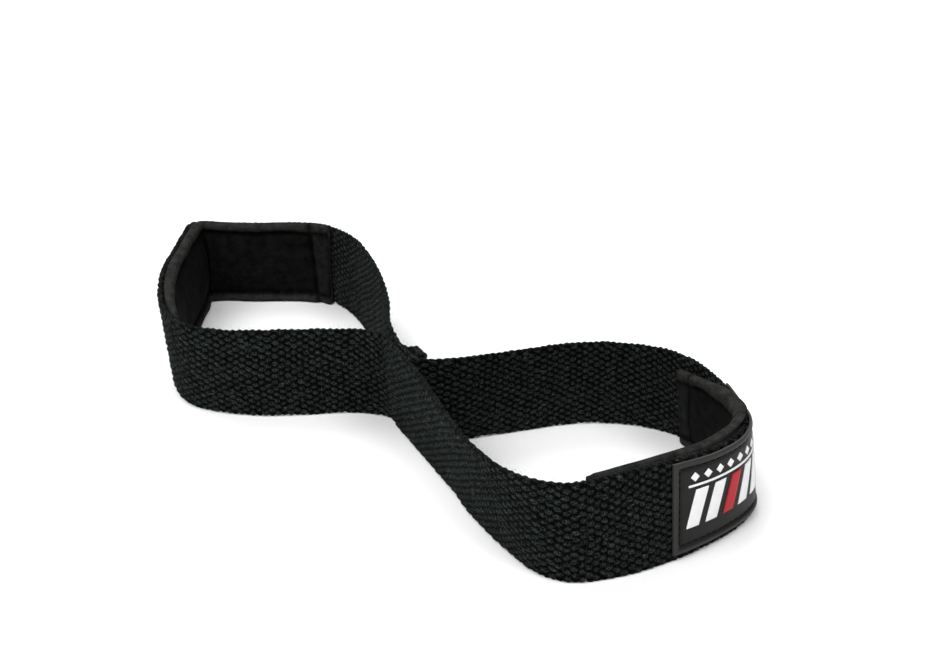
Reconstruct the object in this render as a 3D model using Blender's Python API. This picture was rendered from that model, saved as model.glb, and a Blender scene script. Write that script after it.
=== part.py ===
"""Figure-eight lifting strap, standing on its edge.

One length of cotton webbing runs round a left loop and a right loop and is sewn to itself in
the middle, where three layers lie side by side: the strand that runs through in front, the end
that leads into the right loop behind it, and the end that comes from the left loop at the back.
Each loop has a foam wrist pad on its inner side, round the end that takes the wrist, and the
right loop carries a moulded rubber patch on its outer side.

Metres, +Z up, +X from the seam towards the patched loop. The origin is under the middle of the
strap's box, on the surface that it stands on.
"""
from collections import namedtuple
from math import atan2, ceil, cos, degrees, hypot, radians, sin, tan

import bmesh
import bpy
from mathutils import Vector

# Webbing
WEBBING_WIDTH = 0.038
WEBBING_THICKNESS = 0.0025
WEBBING_SELVEDGE = 0.0005    # chamfer along both woven edges
LAYER_GAP = 0.0003           # between the layers that are sewn together

# Loops, as they stand: reach from the seam to the far end, and spread across
LEFT_REACH = 0.158
LEFT_SPREAD = 0.110
RIGHT_REACH = 0.138
RIGHT_SPREAD = 0.110

# Seam, measured along the through strand from the plan's own zero point
SEAM_ANGLE = -22.5           # degrees from +X
SEAM_LEFT = 0.010
SEAM_RIGHT = 0.016
RIGHT_END_LAP = 0.0075       # hidden length of the end that leads into the right loop
LEFT_END_RAMP = 0.006        # length over which the left loop's end climbs over the other end
END_CLEARANCE = 0.001        # from the top of that climb to the other end's cut
SEAM_LEAN = 4.5              # degrees, top towards the front

# Wrist pads
PAD_THICKNESS = 0.0045
PAD_WIDTH = 0.0392
PAD_ROUND = 0.0014           # radius of the rolled edge
PAD_END_TAPER = 0.003        # length over which each end thins down
PAD_END_THICKNESS = 0.0030
PAD_CLEARANCE = 0.0003
LEFT_PAD_LENGTH = 0.168
RIGHT_PAD_LENGTH = 0.134

# Patch
PATCH_LENGTH = 0.076
PATCH_HEIGHT = 0.034
PATCH_THICKNESS = 0.0011
PATCH_FIELD_DROP = 0.0004    # the field lies this far under the rim
PATCH_RIM = 0.0018
PATCH_FOOT = 0.003           # bottom edge above the webbing's bottom edge
PATCH_CLEARANCE = 0.0003

# Places round each loop, clockwise from the seam, as shares of that loop's length
LEFT_PAD_MIDDLE = 0.444
RIGHT_PAD_MIDDLE = 0.480
PATCH_MIDDLE = 0.472

# Facets
TRACE_STEP = 0.0005
LONGEST_FACET = 0.008
SHARPEST_TURN = 8.0          # degrees from one facet to the next
SHARPEST_TWIST = 1.2         # degrees of lean from one facet to the next
FACE_ROWS = 3                # facets across the width
ROUND_SEGMENTS = 3

# Where the middle of the webbing's thickness meets the ground, round each loop.
# along is a share of the loop's reach, across of its spread (to the rear is positive),
# lean is how far the top leans out of the loop, in degrees.
Bend = namedtuple("Bend", "along across lean")
RIGHT_LOOP = (
    Bend(0.145, 0.035, -6.5),
    Bend(0.195, 0.150, -8.0),
    Bend(0.255, 0.280, -8.0),
    Bend(0.315, 0.410, -8.0),
    Bend(0.390, 0.520, -8.0),
    Bend(0.490, 0.598, -7.5),
    Bend(0.590, 0.630, -7.0),
    Bend(0.690, 0.606, -5.5),
    Bend(0.800, 0.544, -5.5),
    Bend(0.895, 0.468, -6.5),
    Bend(0.960, 0.412, -7.5),
    Bend(0.988, 0.350, -6.0),
    Bend(0.997, 0.255, -2.0),
    Bend(0.990, 0.120, -1.0),
    Bend(0.972, -0.010, -4.0),
    Bend(0.938, -0.150, -6.0),
    Bend(0.892, -0.264, -4.0),
    Bend(0.850, -0.330, -1.0),
    Bend(0.775, -0.362, 4.5),
    Bend(0.695, -0.348, 9.5),
    Bend(0.605, -0.315, 11.5),
    Bend(0.480, -0.260, 10.5),
    Bend(0.340, -0.177, 9.0),
    Bend(0.215, -0.113, 6.0),
)
LEFT_LOOP = (
    Bend(-0.128, -0.005, 3.0),
    Bend(-0.180, -0.072, 3.0),
    Bend(-0.240, -0.175, 1.0),
    Bend(-0.310, -0.276, 1.0),
    Bend(-0.395, -0.352, 4.0),
    Bend(-0.475, -0.388, 5.0),
    Bend(-0.550, -0.365, 5.0),
    Bend(-0.645, -0.283, 5.5),
    Bend(-0.770, -0.132, 5.5),
    Bend(-0.850, 0.003, 5.5),
    Bend(-0.930, 0.140, 5.5),
    Bend(-0.985, 0.235, 3.0),
    Bend(-0.955, 0.320, -3.0),
    Bend(-0.885, 0.405, -3.5),
    Bend(-0.775, 0.548, -2.5),
    Bend(-0.708, 0.590, -1.0),
    Bend(-0.645, 0.584, 0.0),
    Bend(-0.582, 0.560, 1.0),
    Bend(-0.505, 0.512, 1.0),
    Bend(-0.356, 0.384, 1.0),
    Bend(-0.221, 0.239, 1.0),
    Bend(-0.115, 0.105, 0.0),
)

Foot = namedtuple("Foot", "x y lean")        # a point of the route, lean in degrees
Trace = namedtuple("Trace", "x y nx ny lean length")    # with its outward normal and length so far


def seam_point(along, layer):
    """A point of the seam: metres along it, and how many layers behind the through strand."""
    turn = radians(SEAM_ANGLE)
    back = layer * (WEBBING_THICKNESS + LAYER_GAP)
    return (along * cos(turn) - back * sin(turn), along * sin(turn) + back * cos(turn))


def seam_feet(places, side):
    """Feet on the seam. The lean's sign follows the side that faces out of the loop."""
    return [Foot(*seam_point(along, layer), side * SEAM_LEAN) for along, layer in places]


def loop_feet(bends, reach, spread):
    """Feet round a loop, from its table."""
    return [Foot(bend.along * reach, bend.across * spread, bend.lean) for bend in bends]


def route():
    """The webbing's whole route, end to end, as feet."""
    start = SEAM_RIGHT - RIGHT_END_LAP
    right_end = seam_feet([(start, 1), (start + RIGHT_END_LAP / 2, 1), (SEAM_RIGHT - WEBBING_THICKNESS, 1)], -1)
    through = seam_feet([(SEAM_RIGHT, 0), (SEAM_RIGHT / 2, 0), (0.0, 0), (-SEAM_LEFT, 0)], 1)
    climbed = start - END_CLEARANCE
    left_end = seam_feet([(0.0, 1), (climbed - LEFT_END_RAMP, 1), (climbed, 2),
                          ((climbed + SEAM_RIGHT) / 2, 2), (SEAM_RIGHT, 2)], -1)
    return (right_end + loop_feet(RIGHT_LOOP, RIGHT_REACH, RIGHT_SPREAD) + through
            + loop_feet(LEFT_LOOP, LEFT_REACH, LEFT_SPREAD) + left_end)


def smooth(feet):
    """A centripetal curve through the feet, in short even steps."""
    before = Foot(*(2 * a - b for a, b in zip(feet[0], feet[1])))
    after = Foot(*(2 * a - b for a, b in zip(feet[-1], feet[-2])))
    knots = [before, *feet, after]
    curve = []
    for four in zip(knots, knots[1:], knots[2:], knots[3:]):
        spans = [hypot(b.x - a.x, b.y - a.y) ** 0.5 for a, b in zip(four, four[1:])]
        times = (0.0, spans[0], spans[0] + spans[1], sum(spans))
        count = max(2, ceil(spans[1] ** 2 / TRACE_STEP))
        for i in range(count):
            t = times[1] + spans[1] * i / count
            curve.append(Foot(*(curve_value(values, times, t) for values in zip(*four))))
    return curve + [feet[-1]]


def curve_value(values, times, t):
    """One coordinate of the curve at time t, between the second and third of four values."""
    def mix(a, b, i, j):
        return a + (b - a) * (t - times[i]) / (times[j] - times[i])
    first = mix(values[0], values[1], 0, 1)
    middle = mix(values[1], values[2], 1, 2)
    last = mix(values[2], values[3], 2, 3)
    return mix(mix(first, middle, 0, 2), mix(middle, last, 1, 3), 1, 2)


def trace_route():
    """The route as close samples with their outward normals and the length walked so far."""
    curve = smooth(route())
    trace, length = [], 0.0
    for i, foot in enumerate(curve):
        before, after = curve[max(i - 1, 0)], curve[min(i + 1, len(curve) - 1)]
        run = hypot(after.x - before.x, after.y - before.y)
        if i:
            length += hypot(foot.x - curve[i - 1].x, foot.y - curve[i - 1].y)
        trace.append(Trace(foot.x, foot.y, (before.y - after.y) / run, (after.x - before.x) / run,
                           foot.lean, length))
    return trace


def at_length(trace, length):
    """The sample at a length along the trace, between its neighbours."""
    after = next((i for i, sample in enumerate(trace) if sample.length >= length), len(trace) - 1)
    before = max(after - 1, 0)
    run = trace[after].length - trace[before].length
    share = (length - trace[before].length) / run if run else 0.0
    mixed = [a + (b - a) * share for a, b in zip(trace[before], trace[after])]
    size = hypot(mixed[2], mixed[3])
    return Trace(mixed[0], mixed[1], mixed[2] / size, mixed[3] / size, mixed[4], length)


def facet_lengths(trace, start, end):
    """Lengths where a facet ends: closer where the route turns, further apart where it is straight."""
    lengths, last = [start], at_length(trace, start)
    for before, sample in zip(trace, trace[1:]):
        if not start < sample.length < end:
            continue
        turn = degrees(abs(atan2(last.nx * sample.ny - last.ny * sample.nx,
                                 last.nx * sample.nx + last.ny * sample.ny)))
        twist = abs(sample.lean - last.lean)
        if (turn > SHARPEST_TURN or twist > SHARPEST_TWIST
                or sample.length - last.length > LONGEST_FACET):
            lengths.append(before.length)
            last = before
    if end - lengths[-1] < TRACE_STEP:
        lengths.pop()
    return lengths + [end]


def ring(place, section):
    """A cross-section as points in space. Its points are (distance out of the loop, height)."""
    slope = tan(radians(place.lean))
    return [Vector((place.x + place.nx * (out + height * slope),
                    place.y + place.ny * (out + height * slope), height))
            for out, height in section]


def loft(name, rings, material):
    """A closed solid through rings of equal size, with a cap at each end."""
    mesh = bmesh.new()
    loops = [[mesh.verts.new(point) for point in points] for points in rings]
    for here, there in zip(loops, loops[1:]):
        for i in range(len(here)):
            mesh.faces.new((here[i - 1], here[i], there[i], there[i - 1]))
    mesh.faces.new(loops[0][::-1])
    mesh.faces.new(loops[-1])
    bmesh.ops.recalc_face_normals(mesh, faces=mesh.faces)
    data = bpy.data.meshes.new(name)
    mesh.to_mesh(data)
    mesh.free()
    data.materials.append(material)
    data.shade_smooth()
    data.set_sharp_from_angle(angle=radians(30))
    return bpy.data.objects.new(name, data)


def in_rows(section):
    """The same cross-section, with its tall sides split into rows."""
    points = []
    for here, there in zip(section, section[1:] + section[:1]):
        rows = FACE_ROWS if abs(there[1] - here[1]) > WEBBING_WIDTH / 2 else 1
        points += [(here[0] + (there[0] - here[0]) * i / rows, here[1] + (there[1] - here[1]) * i / rows)
                   for i in range(rows)]
    return points


def webbing_section():
    """The webbing's cross-section: a flat bar with chamfered selvedges."""
    half, cut, top = WEBBING_THICKNESS / 2, WEBBING_SELVEDGE, WEBBING_WIDTH
    return in_rows([(-half, cut), (-half + cut, 0.0), (half - cut, 0.0), (half, cut),
                    (half, top - cut), (half - cut, top), (cut - half, top), (-half, top - cut)])


def pad_section(thickness):
    """A wrist pad's cross-section: it backs onto the webbing and has rolled edges."""
    outer = -(WEBBING_THICKNESS / 2 + PAD_CLEARANCE)
    radius = min(PAD_ROUND, thickness * 0.45)
    corners = ((outer - radius, radius, -90), (outer - radius, PAD_WIDTH - radius, 0),
               (outer - thickness + radius, PAD_WIDTH - radius, 90),
               (outer - thickness + radius, radius, 180))
    points = []
    for out, height, start in corners:
        for i in range(ROUND_SEGMENTS + 1):
            turn = radians(start + 90 * i / ROUND_SEGMENTS)
            points.append((out + radius * cos(turn), height + radius * sin(turn)))
    return in_rows(points)


def patch_section(drop):
    """The patch's cross-section, with its field this far under the rim."""
    back = WEBBING_THICKNESS / 2 + PATCH_CLEARANCE
    face, top = back + PATCH_THICKNESS, PATCH_FOOT + PATCH_HEIGHT
    low, high = PATCH_FOOT + PATCH_RIM, top - PATCH_RIM
    return in_rows([(back, PATCH_FOOT), (face, PATCH_FOOT), (face, low), (face - drop, low + drop),
                    (face - drop, high - drop), (face, high), (face, top), (back, top)])


def make_webbing(trace, material):
    """The whole webbing, from the end that leads right to the end that comes from the left."""
    lengths = facet_lengths(trace, 0.0, trace[-1].length)
    return loft("webbing_strap", [ring(at_length(trace, s), webbing_section()) for s in lengths],
                material)


def make_pad(name, trace, middle, length, material):
    """A wrist pad on the inner side of the webbing, round the middle length given."""
    start, end = middle - length / 2, middle + length / 2
    inner = facet_lengths(trace, start + PAD_END_TAPER, end - PAD_END_TAPER)
    rings = [ring(at_length(trace, s), pad_section(PAD_THICKNESS)) for s in inner]
    first = ring(at_length(trace, start), pad_section(PAD_END_THICKNESS))
    last = ring(at_length(trace, end), pad_section(PAD_END_THICKNESS))
    return loft(name, [first, *rings, last], material)


def make_patch(trace, middle, material):
    """The patch on the outer side of the right loop, a sunk field inside a raised rim."""
    start, end = middle - PATCH_LENGTH / 2, middle + PATCH_LENGTH / 2
    field = facet_lengths(trace, start + PATCH_RIM + PATCH_FIELD_DROP,
                          end - PATCH_RIM - PATCH_FIELD_DROP)
    rings = [ring(at_length(trace, s), patch_section(0.0)) for s in (start, start + PATCH_RIM)]
    rings += [ring(at_length(trace, s), patch_section(PATCH_FIELD_DROP)) for s in field]
    rings += [ring(at_length(trace, s), patch_section(0.0)) for s in (end - PATCH_RIM, end)]
    return loft("label_patch", rings, material)


def make_material(name, color, roughness):
    """A plain material."""
    material = bpy.data.materials.new(name)
    material.use_nodes = True
    shader = material.node_tree.nodes["Principled BSDF"]
    shader.inputs["Base Color"].default_value = (*color, 1.0)
    shader.inputs["Roughness"].default_value = roughness
    shader.inputs["Metallic"].default_value = 0.0
    material.diffuse_color = (*color, 1.0)
    return material


def centre_on_ground(pieces):
    """Moves the pieces so that the origin is under the middle of their common box."""
    xs = [vertex.co.x for piece in pieces for vertex in piece.data.vertices]
    ys = [vertex.co.y for piece in pieces for vertex in piece.data.vertices]
    middle = Vector(((min(xs) + max(xs)) / 2, (min(ys) + max(ys)) / 2, 0.0))
    for piece in pieces:
        for vertex in piece.data.vertices:
            vertex.co -= middle


def clear_scene():
    """Removes what the scene holds."""
    for item in list(bpy.data.objects):
        bpy.data.objects.remove(item, do_unlink=True)


def main():
    """Builds the strap in a collection of its own."""
    clear_scene()
    collection = bpy.data.collections.new("lifting_strap")
    bpy.context.scene.collection.children.link(collection)

    cotton = make_material("black_cotton_webbing", (0.016, 0.017, 0.017), 0.95)
    foam = make_material("black_foam_pad", (0.020, 0.020, 0.021), 0.85)
    rubber = make_material("black_moulded_rubber", (0.028, 0.028, 0.029), 0.5)

    trace = trace_route()
    seam = min(trace, key=lambda sample: hypot(sample.x, sample.y)).length
    whole = trace[-1].length
    pieces = [
        make_webbing(trace, cotton),
        make_pad("wrist_pad_left", trace, seam + LEFT_PAD_MIDDLE * (whole - seam),
                 LEFT_PAD_LENGTH, foam),
        make_pad("wrist_pad_right", trace, RIGHT_PAD_MIDDLE * seam, RIGHT_PAD_LENGTH, foam),
        make_patch(trace, PATCH_MIDDLE * seam, rubber),
    ]
    centre_on_ground(pieces)
    for piece in pieces:
        collection.objects.link(piece)


main()
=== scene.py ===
"""Looks of the figure-eight lifting strap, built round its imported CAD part.

The strap is one length of woven cotton webbing, sewn to itself in the middle, with a foam wrist
pad inside each loop and a moulded rubber patch outside the right loop. Every soft piece is first
modelled flat, as (length along the webbing, distance out of the loop, height), and is then bent
along the route that the webbing takes on the floor.
"""
from __future__ import annotations

import logging
import sys
from dataclasses import dataclass
from enum import Enum
from math import ceil, cos, hypot, pi, radians, sin
from typing import Callable, NamedTuple

import bmesh
import bpy
import numpy as np
from bmesh.types import BMesh, BMEdge, BMVert
from bpy.types import Material, Mesh, Node, NodeSocket, Object, World
from mathutils import Matrix, Vector

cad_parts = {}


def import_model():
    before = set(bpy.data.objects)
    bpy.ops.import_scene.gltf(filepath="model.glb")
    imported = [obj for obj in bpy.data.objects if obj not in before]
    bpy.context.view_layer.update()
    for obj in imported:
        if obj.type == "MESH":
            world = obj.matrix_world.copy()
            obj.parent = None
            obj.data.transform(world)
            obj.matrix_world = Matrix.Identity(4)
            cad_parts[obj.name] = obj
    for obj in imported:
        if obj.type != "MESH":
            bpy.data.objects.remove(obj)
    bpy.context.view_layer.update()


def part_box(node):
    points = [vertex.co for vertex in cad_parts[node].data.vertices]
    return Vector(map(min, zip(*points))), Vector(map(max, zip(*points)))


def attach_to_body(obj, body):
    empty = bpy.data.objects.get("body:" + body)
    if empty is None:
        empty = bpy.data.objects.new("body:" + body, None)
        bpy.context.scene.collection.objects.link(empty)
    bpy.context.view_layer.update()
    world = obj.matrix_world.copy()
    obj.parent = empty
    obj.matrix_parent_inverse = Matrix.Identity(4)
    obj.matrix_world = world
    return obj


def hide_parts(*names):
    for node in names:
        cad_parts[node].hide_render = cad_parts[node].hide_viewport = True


LOG = logging.getLogger("lifting_strap")
Array = np.ndarray

# Sizes shared by the pieces, in metres
WEBBING_WIDTH = 0.038
WEBBING_HALF = 0.00125                  # half its thickness
LAYER_GAP = 0.0003
PIECE_BACK = WEBBING_HALF + LAYER_GAP   # where pads and patch start, out from the middle line

# Where these start and end, as lengths along the webbing
RIGHT_PAD = (0.1147, 0.2487)
PATCH = (0.1407, 0.2167)
LEFT_PAD = (0.4765, 0.6445)


class Foot(NamedTuple):
    """Where the middle of the webbing's thickness meets the floor. The lean is in degrees."""

    x: float
    y: float
    lean: float


class Bend(NamedTuple):
    """A foot in shares of a loop's reach and spread."""

    along: float
    across: float
    lean: float


RIGHT_LOOP = tuple(Bend(*foot) for foot in (
    (0.145, 0.035, -6.5), (0.195, 0.150, -8.0), (0.255, 0.280, -8.0), (0.315, 0.410, -8.0),
    (0.390, 0.520, -8.0), (0.490, 0.598, -7.5), (0.590, 0.630, -7.0), (0.690, 0.606, -5.5),
    (0.800, 0.544, -5.5), (0.895, 0.468, -6.5), (0.960, 0.412, -7.5), (0.988, 0.350, -6.0),
    (0.997, 0.255, -2.0), (0.990, 0.120, -1.0), (0.972, -0.010, -4.0), (0.938, -0.150, -6.0),
    (0.892, -0.264, -4.0), (0.850, -0.330, -1.0), (0.775, -0.362, 4.5), (0.695, -0.348, 9.5),
    (0.605, -0.315, 11.5), (0.480, -0.260, 10.5), (0.340, -0.177, 9.0), (0.215, -0.113, 6.0)))
LEFT_LOOP = tuple(Bend(*foot) for foot in (
    (-0.128, -0.005, 3.0), (-0.180, -0.072, 3.0), (-0.240, -0.175, 1.0), (-0.310, -0.276, 1.0),
    (-0.395, -0.352, 4.0), (-0.475, -0.388, 5.0), (-0.550, -0.365, 5.0), (-0.645, -0.283, 5.5),
    (-0.770, -0.132, 5.5), (-0.850, 0.003, 5.5), (-0.930, 0.140, 5.5), (-0.985, 0.235, 3.0),
    (-0.955, 0.320, -3.0), (-0.885, 0.405, -3.5), (-0.775, 0.548, -2.5), (-0.708, 0.590, -1.0),
    (-0.645, 0.584, 0.0), (-0.582, 0.560, 1.0), (-0.505, 0.512, 1.0), (-0.356, 0.384, 1.0),
    (-0.221, 0.239, 1.0), (-0.115, 0.105, 0.0)))


@dataclass(frozen=True)
class Route:
    """The webbing's way over the floor, with the sizes that the CAD part has."""

    left_reach: float = 0.158
    left_spread: float = 0.110
    right_reach: float = 0.138
    right_spread: float = 0.110
    seam_angle: float = -22.5
    seam_left: float = 0.010
    seam_right: float = 0.016
    right_end_lap: float = 0.0075
    left_end_ramp: float = 0.006
    end_clearance: float = 0.001
    seam_lean: float = 4.5
    step: float = 0.0005

    def seam_feet(self, places: list[tuple[float, float]], side: int) -> list[Foot]:
        """Feet on the seam.

        Args:
            places: metres along the seam, and how many layers behind the through strand.
            side: the side that faces out of the loop, which gives the lean its sign.

        Returns:
            One foot for each place.
        """
        turn = radians(self.seam_angle)
        feet = []
        for along, layer in places:
            back = layer * (2 * WEBBING_HALF + LAYER_GAP)
            feet.append(Foot(along * cos(turn) - back * sin(turn),
                             along * sin(turn) + back * cos(turn), side * self.seam_lean))
        return feet

    def feet(self) -> list[Foot]:
        """The webbing's whole way.

        Returns:
            All feet, from the end that leads right to the end that comes from the left.
        """
        start = self.seam_right - self.right_end_lap
        climbed = start - self.end_clearance
        right_end = self.seam_feet([(start, 1), (start + self.right_end_lap / 2, 1),
                                    (self.seam_right - 2 * WEBBING_HALF, 1)], -1)
        through = self.seam_feet([(self.seam_right, 0), (self.seam_right / 2, 0), (0.0, 0),
                                  (-self.seam_left, 0)], 1)
        left_end = self.seam_feet([(0.0, 1), (climbed - self.left_end_ramp, 1), (climbed, 2),
                                   ((climbed + self.seam_right) / 2, 2), (self.seam_right, 2)], -1)
        right = [Foot(b.along * self.right_reach, b.across * self.right_spread, b.lean)
                 for b in RIGHT_LOOP]
        left = [Foot(b.along * self.left_reach, b.across * self.left_spread, b.lean)
                for b in LEFT_LOOP]
        return right_end + right + through + left + left_end

    def curve(self) -> Array:
        """A centripetal curve through the feet.

        Returns:
            Close samples, as rows of x, y and lean.
        """
        feet = np.array(self.feet())
        knots = np.vstack([2 * feet[0] - feet[1], feet, 2 * feet[-1] - feet[-2]])
        samples = []
        for four in zip(knots, knots[1:], knots[2:], knots[3:]):
            spans = [hypot(*(b - a)[:2]) ** 0.5 for a, b in zip(four, four[1:])]
            times = np.cumsum([0.0, *spans])
            count = max(2, ceil(spans[1] ** 2 / self.step))
            for t in times[1] + spans[1] * np.arange(count) / count:
                samples.append(self.between(four, times, t))
        return np.array([*samples, feet[-1]])

    @staticmethod
    def between(four: tuple[Array, ...], times: Array, t: float) -> Array:
        """The curve's value at a time.

        Args:
            four: four knots that follow each other.
            times: the curve's time at each.
            t: a time between the second and the third.

        Returns:
            The x, y and lean there.
        """
        def mix(a: Array, b: Array, i: int, j: int) -> Array:
            """The value at t on the line from a at time i to b at time j."""
            return a + (b - a) * (t - times[i]) / (times[j] - times[i])
        first = mix(four[0], four[1], 0, 1)
        middle = mix(four[1], four[2], 1, 2)
        last = mix(four[2], four[3], 2, 3)
        return mix(mix(first, middle, 0, 2), mix(middle, last, 1, 3), 1, 2)


class Strand:
    """The webbing's middle line in the part's frame, along which flat pieces are bent."""

    def __init__(self, route: Route, box: tuple[Vector, Vector]) -> None:
        """Lays the route where the CAD webbing is.

        Args:
            route: the webbing's way over the floor.
            box: lowest and highest corner of the CAD webbing.
        """
        curve = route.curve()
        self.xy = curve[:, :2]
        self.slope = np.tan(np.radians(curve[:, 2]))
        ahead = np.vstack([self.xy[1:], self.xy[-1:]])
        behind = np.vstack([self.xy[:1], self.xy[:-1]])
        self.tangent = ahead - behind
        self.tangent /= np.linalg.norm(self.tangent, axis=1)[:, None]
        steps = np.linalg.norm(np.diff(self.xy, axis=0), axis=1)
        self.lengths = np.concatenate([[0.0], np.cumsum(steps)])
        self.whole = float(self.lengths[-1])
        corners = np.vstack([self.bend(np.column_stack([
            self.lengths, np.full_like(self.lengths, out), np.full_like(self.lengths, height)]))
            for out in (-WEBBING_HALF, WEBBING_HALF) for height in (0.0, WEBBING_WIDTH)])
        own = (corners.min(0) + corners.max(0)) / 2
        self.xy = self.xy + (np.array((box[0] + box[1]) / 2) - own)[:2]

    def bend(self, flat: Array) -> Array:
        """Turns flat places into places in space.

        Args:
            flat: rows of length along the webbing, distance out of the loop and height.

        Returns:
            Rows of x, y and z. Beyond an end of the webbing the line runs on straight.
        """
        along, out, height = flat.T
        on_line = np.clip(along, 0.0, self.whole)
        x, y, tx, ty, slope = (np.interp(on_line, self.lengths, values) for values in
                               (*self.xy.T, *self.tangent.T, self.slope))
        size = np.hypot(tx, ty)
        tx, ty = tx / size, ty / size
        sideways = out + height * slope
        beyond = along - on_line
        return np.column_stack([x - ty * sideways + tx * beyond, y + tx * sideways + ty * beyond,
                                height])

    def bend_mesh(self, data: Mesh) -> None:
        """Bends a flat mesh in place."""
        set_points(data, self.bend(points_of(data)))


# Mesh helpers

def points_of(data: Mesh) -> Array:
    """Reads where a mesh's vertices are.

    Args:
        data: the mesh.

    Returns:
        One row of x, y and z for each vertex.
    """
    points = np.empty(len(data.vertices) * 3, np.float32)
    data.vertices.foreach_get("co", points)
    return points.reshape(-1, 3).astype(float)


def set_points(data: Mesh, points: Array) -> None:
    """Moves the mesh's vertices to these rows."""
    data.vertices.foreach_set("co", points.astype(np.float32).ravel())
    data.update()


def set_attribute(data: Mesh, name: str, values: Array) -> None:
    """Stores one number for each vertex."""
    layer = data.attributes.get(name) or data.attributes.new(name, "FLOAT", "POINT")
    layer.data.foreach_set("value", values.astype(np.float32).ravel())


def wander(a: Array, b: Array, size: float, seed: int) -> Array:
    """A smooth seeded unevenness between about -1 and 1.

    Args:
        a: first place on the surface, in metres.
        b: second place on the surface, in metres.
        size: distance from one swell to the next, in metres.
        seed: which unevenness.

    Returns:
        One value for each place.
    """
    dice = np.random.default_rng(seed)
    total = np.zeros(np.broadcast(a, b).shape)
    for _ in range(6):
        turn, stretch, shift = dice.uniform(0, pi), dice.uniform(0.6, 1.7), dice.uniform(0, 2 * pi)
        wave = 2 * pi / (size * stretch)
        total += np.sin(wave * (a * cos(turn) + b * sin(turn)) + shift)
    return total / 3.0


def bump_at(distance: Array, width: float) -> Array:
    """A soft bump that is 1 at distance 0 and fades over the width."""
    return np.exp(-(distance / width) ** 2)


def ease(share: Array) -> Array:
    """A share from 0 to 1 that starts and ends gently."""
    return share * share * (3 - 2 * share)


def rounded(share: Array) -> Array:
    """How high a quarter circle stands at a share of its run."""
    return np.sqrt(1 - (1 - share) ** 2)


def mesh_from(shape: BMesh, name: str) -> Mesh:
    """Makes a mesh of a shape.

    Args:
        shape: the finished shape, which this frees.
        name: the mesh's name.

    Returns:
        The new mesh.
    """
    data = bpy.data.meshes.new(name)
    shape.to_mesh(data)
    shape.free()
    return data


def object_of(name: str, data: Mesh, finish: Material) -> Object:
    """Puts a mesh in the scene.

    Args:
        name: the piece's name.
        data: its mesh.
        finish: its material.

    Returns:
        The new object, at the origin.
    """
    data.name = name
    data.materials.clear()
    data.materials.append(finish)
    piece = bpy.data.objects.new(name, data)
    bpy.context.scene.collection.objects.link(piece)
    return piece


def attach(piece: Object, node: str) -> None:
    """Makes a piece ride on the strap and stand for a CAD node.

    Args:
        piece: the piece.
        node: the CAD node that it stands for.
    """
    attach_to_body(piece, "root")
    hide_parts(node)
    LOG.info("%s: %d faces", piece.name, len(piece.data.polygons))


FlatPlaces = Callable[[Array, Array], tuple[Array, Array, dict[str, Array]]]


def sleeve(name: str, columns: int, rows: int, place: FlatPlaces) -> Mesh:
    """A closed sleeve: a grid whose last row meets its first, with a cap at each open end.

    Args:
        name: the mesh's name.
        columns: faces along the sleeve.
        rows: faces round it.
        place: gives for column and row numbers the flat places, the UV places and the attributes.

    Returns:
        A mesh with outward faces, still flat.
    """
    shape = bmesh.new()
    shape.loops.layers.uv.new("weave")
    bmesh.ops.create_grid(shape, x_segments=columns, y_segments=rows, size=0.5)
    data = mesh_from(shape, name)
    share = points_of(data) + 0.5
    column = np.rint(share[:, 0] * columns).astype(int)
    row = np.rint(share[:, 1] * rows).astype(int)
    flat, uv, attributes = place(column, row)
    corner = np.empty(len(data.loops), int)
    data.loops.foreach_get("vertex_index", corner)
    data.uv_layers["weave"].data.foreach_set("uv", uv[corner].astype(np.float32).ravel())
    set_points(data, flat)
    for key, values in attributes.items():
        set_attribute(data, key, values)

    shape = bmesh.new()
    shape.from_mesh(data)
    bmesh.ops.remove_doubles(shape, verts=shape.verts, dist=2e-6)
    open_edges = [edge for edge in shape.edges if edge.is_boundary]
    for face in bmesh.ops.holes_fill(shape, edges=open_edges, sides=0)["faces"]:
        for edge in face.edges:
            edge.smooth = False
    bmesh.ops.recalc_face_normals(shape, faces=shape.faces)
    shape.to_mesh(data)
    shape.free()
    data.shade_smooth()
    return data


# Materials

BAND = 0.314                   # a Wave texture's scale is this over the width of one band in metres


def linear(code: str) -> tuple[float, float, float, float]:
    """Turns an sRGB colour to linear.

    Args:
        code: an sRGB hex colour such as #1c1d1d.

    Returns:
        Red, green, blue and an alpha of 1, as linear values.
    """
    parts = [int(code[i:i + 2], 16) / 255 for i in (1, 3, 5)]
    red, green, blue = (c / 12.92 if c <= 0.04045 else ((c + 0.055) / 1.055) ** 2.4 for c in parts)
    return red, green, blue, 1.0


def feed(material: Material | World, node: Node,
         sockets: dict[str | int, object]) -> None:
    """Sets and links a node's inputs.

    Args:
        material: what the node belongs to.
        node: the node.
        sockets: for an input, by name or number, a value or the output that feeds it.
    """
    for key, value in sockets.items():
        if isinstance(value, NodeSocket):
            material.node_tree.links.new(value, node.inputs[key])
        else:
            node.inputs[key].default_value = value


def add_node(material: Material | World, kind: str,
             settings: dict[str, object] | None = None,
             sockets: dict[str | int, object] | None = None) -> Node:
    """Adds one shader node.

    Args:
        material: what the node belongs to.
        kind: the node's type.
        settings: its own properties.
        sockets: for an input, by name or number, a value or the output that feeds it.

    Returns:
        The new node.
    """
    node = material.node_tree.nodes.new(kind)
    for key, value in (settings or {}).items():
        setattr(node, key, value)
    feed(material, node, sockets or {})
    return node


def new_material(name: str) -> tuple[Material, Node]:
    """Starts a material.

    Args:
        name: the material's name.

    Returns:
        The material and its Principled shader.
    """
    material = bpy.data.materials.new(name)
    material.use_nodes = True
    return material, material.node_tree.nodes["Principled BSDF"]


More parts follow.
